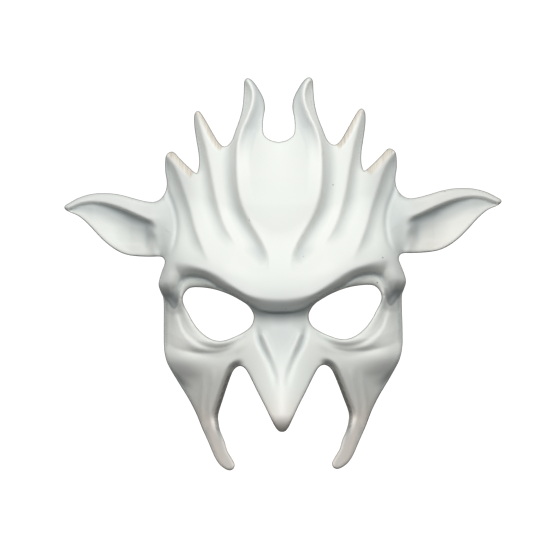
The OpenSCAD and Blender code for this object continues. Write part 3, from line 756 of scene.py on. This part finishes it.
# ---- Head strap
# One length of woven elastic: hemmed round the right loop's bar, round the head, and through the left loop.
# Its free end is held by the slide.
STRAP_T, STRAP_W = 1.2, 20.0
STRAP_BACK = 124.0
WIRE_R = 1.2
HEM = (10.0, 24.0)
low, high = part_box("left_loop")
bar_x, rear_bar_y = (low.x + high.x) / 2 / MM, high.y / MM - WIRE_R
front_bar_y = low.y / MM + WIRE_R
strap_z = (low.z + high.z) / 2 / MM
lay = WIRE_R + 0.1 + STRAP_T / 2
strap_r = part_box("head_strap")[1].y / MM - STRAP_T / 2 - STRAP_BACK
reach = math.hypot(bar_x, STRAP_BACK - rear_bar_y)
lean = math.asin((strap_r + lay) / reach) - math.atan2(bar_x, STRAP_BACK - rear_bar_y)
run = math.sqrt(reach**2 - (strap_r + lay) ** 2)


def beside_bar(across, along, side):
    """A point beside a loop's rear bar, as (x, y) in millimetres."""
    return (side * (bar_x + across * math.cos(lean) + along * math.sin(lean)),
            rear_bar_y - across * math.sin(lean) + along * math.cos(lean))


def straight(across, start, end):
    """Points 1.5 mm apart on a straight run of the strap beside the bar."""
    return [(across, along) for along in np.arange(start, end, 1.5)]


round_bar = [(lay * math.cos(a), lay * math.sin(a)) for a in np.linspace(math.pi, 2 * math.pi, 17)]
hem_line = straight(STRAP_T + 0.05 - lay, HEM[0], HEM[1] + 0.1)
path = [beside_bar(a, b, -1) for a, b in (round_bar + hem_line)[::-1]]
sweep = np.linspace(math.pi + lean, -lean, 121)
path += [(strap_r * math.cos(a), STRAP_BACK + strap_r * math.sin(a)) for a in sweep]
path += [beside_bar(a, b, 1) for a, b in round_bar + straight(lay, 3, run - 0.9) + [(lay, run - 1)]]
path = np.array(path)
gaps = np.hypot(*np.diff(path, axis=0).T)
path = path[np.concatenate([[True], gaps > 0.05])]
length_along = np.concatenate([[0], np.cumsum(np.hypot(*np.diff(path, axis=0).T))])
ways = np.vstack([path[1:] - path[:-1], path[-1:] - path[-2:-1]])
ways /= np.hypot(*ways.T)[:, None]
mean_ways = ways.copy()
mean_ways[1:] = ways[1:] + ways[:-1]
mean_ways /= np.hypot(*mean_ways.T)[:, None]
# Half of the strap's section, flat with soft selvedges, as distances across it and through it
half = STRAP_W / 2
selvedge = [(half, 0.25), (half - 0.2, 0.48), (half - 0.7, STRAP_T / 2)]
outer_half = [(-w, -n) for w, n in selvedge]
outer_half += [(w, -STRAP_T / 2) for w in range(-8, 9, 2)] + [(w, -n) for w, n in selvedge[::-1]]
section = outer_half + [(-w, -n) for w, n in outer_half]
form = bmesh.new()
uv = form.loops.layers.uv.new("UVMap")
spots, rows = {}, []
for (px, py), (wx, wy), far in zip(path, mean_ways, length_along):
    row = []
    for w, n in section:
        corner = form.verts.new(((px - wy * n) * MM, (py + wx * n) * MM, (strap_z + w) * MM))
        spots[corner] = (far * MM, w * MM)
        row.append(corner)
    rows.append(row)
strip_faces(form, rows)
for ends in (rows[0], rows[-1]):
    form.faces.new(ends)
for face in form.faces:
    for corner in face.loops:
        corner[uv].uv = spots[corner.vert]
elastic = cloth_paint("Woven elastic", (0.56, 0.54, 0.49), (0.86, 0.845, 0.80),
                      (0, 620), (1, 900), 0.78, 0.00028, "UV")
piece_of("elastic_head_strap", form, elastic, "strap", ["head_strap"])

# ---- Stitches
# Bonded white thread in lock stitches: two rows across each chape, three across the hem of the strap.
# Each stitch is a short twisted length that dips into the webbing at both ends.
THREAD_R = 0.28
STITCH_RISE, STITCH_DIP = 0.16, 0.30
thread, tree, bsdf = new_paint("White thread")
_, _, grain, clouds = speckled(tree)
split = add(tree, "ShaderNodeSeparateXYZ", {0: add(tree, "ShaderNodeTexCoord").outputs["UV"]}).outputs
turns = math_of(tree, "ADD", math_of(tree, "MULTIPLY", split[0], 4.0), split[1])
twist = math_of(tree, "SINE", math_of(tree, "MULTIPLY", turns, 2 * math.pi))
tone = tint(tree, between(tree, twist, -1, 1), (0.55, 0.54, 0.50), (0.90, 0.89, 0.86))
tone = tint(tree, between(tree, clouds, 0.4, 0.7, 0, 0.3), tone, (0.70, 0.66, 0.58))
coat(tree, bsdf, tone, between(tree, grain, 0.3, 0.7, 0.5, 0.68), bump_of(tree, twist, 0.7, 0.0001))


def stitch_run(form, layer, middle, face_way, across_mm, pitch):
    """A row of stitches along Z on one face of the webbing."""
    upward, outward = Vector((0, 0, 1)), Vector(face_way)
    side_way = outward.cross(upward)
    count = int(across_mm / pitch)
    for k in range(count):
        start = -across_mm / 2 + (k + 0.5) * across_mm / count
        rings, where = [], {}
        for s in [step / 3 for step in range(-3, 4)]:
            lift = STITCH_RISE * (1 - s * s) - STITCH_DIP * (s * s) ** 2
            centre = Vector(middle) + upward * (start + s * pitch * 0.42) + outward * lift
            thin = THREAD_R * (1 - 0.35 * s**4)
            ring = []
            for j in range(8):
                a = j * math.pi / 4
                spoke = math.cos(a) * outward + math.sin(a) * side_way
                corner = form.verts.new((centre + thin * spoke) * MM)
                where[corner] = ((s + 1) / 2, j / 8)
                ring.append(corner)
            rings.append(ring)
        strip_faces(form, rings)
        form.faces.new(rings[0])
        form.faces.new(rings[-1])
        for corner, at in where.items():
            for loop in corner.link_loops:
                loop[layer].uv = at


form = bmesh.new()
uv = form.loops.layers.uv.new("UVMap")
low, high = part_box("left_chape")
for side in (1, -1):
    for row_at in (-6.5, -4.5):
        for face_x, way in ((low.x / MM, -1), (high.x / MM, 1)):
            spot = (side * face_x, front_bar_y + row_at, strap_z)
            stitch_run(form, uv, spot, (side * way, 0, 0), 14, 2.0)
piece_of("stitching_of_chapes", form, thread, "strap", ["chape_stitches"])
form = bmesh.new()
uv = form.loops.layers.uv.new("UVMap")
for row_at in (13.0, 15.0, 17.0):
    for across, way in ((-lay - STRAP_T / 2, -1), (-lay + 1.5 * STRAP_T + 0.05, 1)):
        px, py = beside_bar(across, row_at, -1)
        stitch_run(form, uv, (px, py, strap_z), (-way * math.cos(lean), -way * math.sin(lean), 0), 16, 2.2)
piece_of("stitching_of_hem", form, thread, "strap", ["strap_stitches"])

# ---- Slide
# A moulded keeper with a slot for each layer of the strap. It holds the free end by friction.
# The plastic is ivory, satin on its faces and scuffed where the webbing drags.
moulded, tree, bsdf = new_paint("Moulded ivory plastic")
place, _, grain, clouds = speckled(tree)
scuffs = noise_of(tree, stretched(tree, place, (900, 120, 900)), 1.0, 4.0, 0.65)
tone = tint(tree, between(tree, clouds, 0.35, 0.65), (0.74, 0.72, 0.66), (0.80, 0.785, 0.73))
tone = tint(tree, between(tree, scuffs, 0.55, 0.75, 0, 0.4), tone, (0.60, 0.57, 0.50))
coat(tree, bsdf, tone, between(tree, scuffs, 0.35, 0.7, 0.34, 0.58), bump_of(tree, grain, 0.35, 0.00005))
dressed("strap_slider", moulded, 0.35)

# ---- Studio
# A grey floor well below, a bright plain wall well behind, and one large soft light above and in front.
# The wall only shows as a clean white ground.
FLOOR_Z, WALL_Y, STAGE_HALF, STAGE_TOP = -1.5, 5, 7, 5


def stage_sheet(name, corners, shade, glow):
    """A plain four-cornered sheet of the studio, which isn't part of the mask."""
    sheet_form = bmesh.new()
    sheet_form.faces.new([sheet_form.verts.new(c) for c in corners])
    sheet_mesh = bpy.data.meshes.new(name)
    sheet_form.to_mesh(sheet_mesh)
    sheet_form.free()
    paint, _, bsdf = new_paint(name)
    bsdf.inputs["Base Color"].default_value = (shade, shade, shade, 1)
    bsdf.inputs["Roughness"].default_value = 0.9
    bsdf.inputs["Emission Color"].default_value = (1, 1, 1, 1)
    bsdf.inputs["Emission Strength"].default_value = glow
    sheet_mesh.materials.append(paint)
    sheet = bpy.data.objects.new(name, sheet_mesh)
    bpy.context.collection.objects.link(sheet)


floor_front = [(-STAGE_HALF, -STAGE_HALF, FLOOR_Z), (STAGE_HALF, -STAGE_HALF, FLOOR_Z)]
floor_back = [(STAGE_HALF, WALL_Y, FLOOR_Z), (-STAGE_HALF, WALL_Y, FLOOR_Z)]
wall_top = [(STAGE_HALF, WALL_Y, STAGE_TOP), (-STAGE_HALF, WALL_Y, STAGE_TOP)]
stage_sheet("Floor", floor_front + floor_back, 0.3, 0)
stage_sheet("Wall", floor_back[::-1] + wall_top, 0.8, 1.0)

light = bpy.data.lights.new("Key", "AREA")
light.shape = "RECTANGLE"
light.size, light.size_y = 1.3, 0.8
light.energy = 22.5
lamp = bpy.data.objects.new("Key", light)
lamp.location = (0.0, -1.28, 0.86)
lamp.rotation_euler = (Vector((0, 0, 0.02)) - lamp.location).to_track_quat("-Z", "Y").to_euler()
bpy.context.collection.objects.link(lamp)

world = bpy.data.worlds.new("Studio")
world.use_nodes = True
tree = world.node_tree
background = tree.nodes["Background"]
sky = add(tree, "ShaderNodeTexCoord").outputs["Generated"]
sky_height = add(tree, "ShaderNodeSeparateXYZ", {"Vector": sky}).outputs["Z"]
tree.links.new(between(tree, sky_height, -0.4, 1.0, 0.03, 0.30), background.inputs["Strength"])
background.inputs["Color"].default_value = (0.97, 0.99, 1, 1)
bpy.context.scene.world = world
bpy.context.scene.view_settings.view_transform = "Standard"

SENSOR = 36
CAMERA_AWAY, FIELD_WIDE = 3.02, 0.330
CAMERA_TURN, CAMERA_ROLL = math.radians(0.8), math.radians(-0.8)
camera_data = bpy.data.cameras.new("Camera")
camera_data.sensor_width = SENSOR
camera_data.lens = SENSOR * CAMERA_AWAY / FIELD_WIDE
camera = bpy.data.objects.new("Camera", camera_data)
level = Matrix.Translation((-0.0033, -3.0, 0.024)) @ Matrix.Rotation(math.radians(90), 4, "X")
camera.matrix_world = Matrix.Rotation(CAMERA_TURN, 4, "Z") @ level @ Matrix.Rotation(CAMERA_ROLL, 4, "Z")
bpy.context.collection.objects.link(camera)
bpy.context.scene.camera = camera
